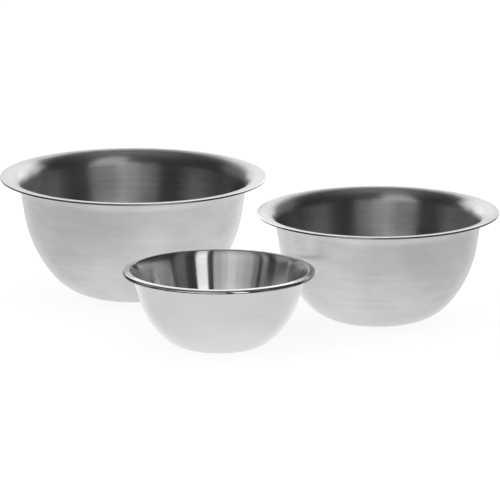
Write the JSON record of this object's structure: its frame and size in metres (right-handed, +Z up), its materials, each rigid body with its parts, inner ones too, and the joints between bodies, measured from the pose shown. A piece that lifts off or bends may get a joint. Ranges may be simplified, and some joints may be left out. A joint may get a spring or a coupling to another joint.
{
  "type": "stainless steel bowl set",
  "caption": "Round, deep stainless-steel bowls in graded sizes with wide flared rims and small flat feet, standing side by side.",
  "frame": {"origin": "on the surface that the bowls stand on, below the middle of the set's box", "axes": "+Z up; +X to the right, from the large bowl towards the medium one; -Y to the front, where the small bowl stands"},
  "size_m": [0.522, 0.481, 0.1274],
  "materials": {
    "large_satin_steel": "satin, finely turned around the axis",
    "medium_satin_steel": "satin, finely turned around the axis",
    "small_polished_steel": "polished inside, fine satin outside"
  },
  "bodies": {
    "large": {"large_bowl": "large_satin_steel"},
    "medium": {"medium_bowl": "medium_satin_steel"},
    "small": {"small_bowl": "small_polished_steel"}
  },
  "joints": [
    {"name": "medium_lift", "type": "slide", "parent": "large", "child": "medium", "axis": [0, 0, 1], "range_m": [0, 0.16]},
    {"name": "small_lift", "type": "slide", "parent": "large", "child": "small", "axis": [0, -0.7071, 0.7071], "range_m": [0, 0.2]}
  ]
}
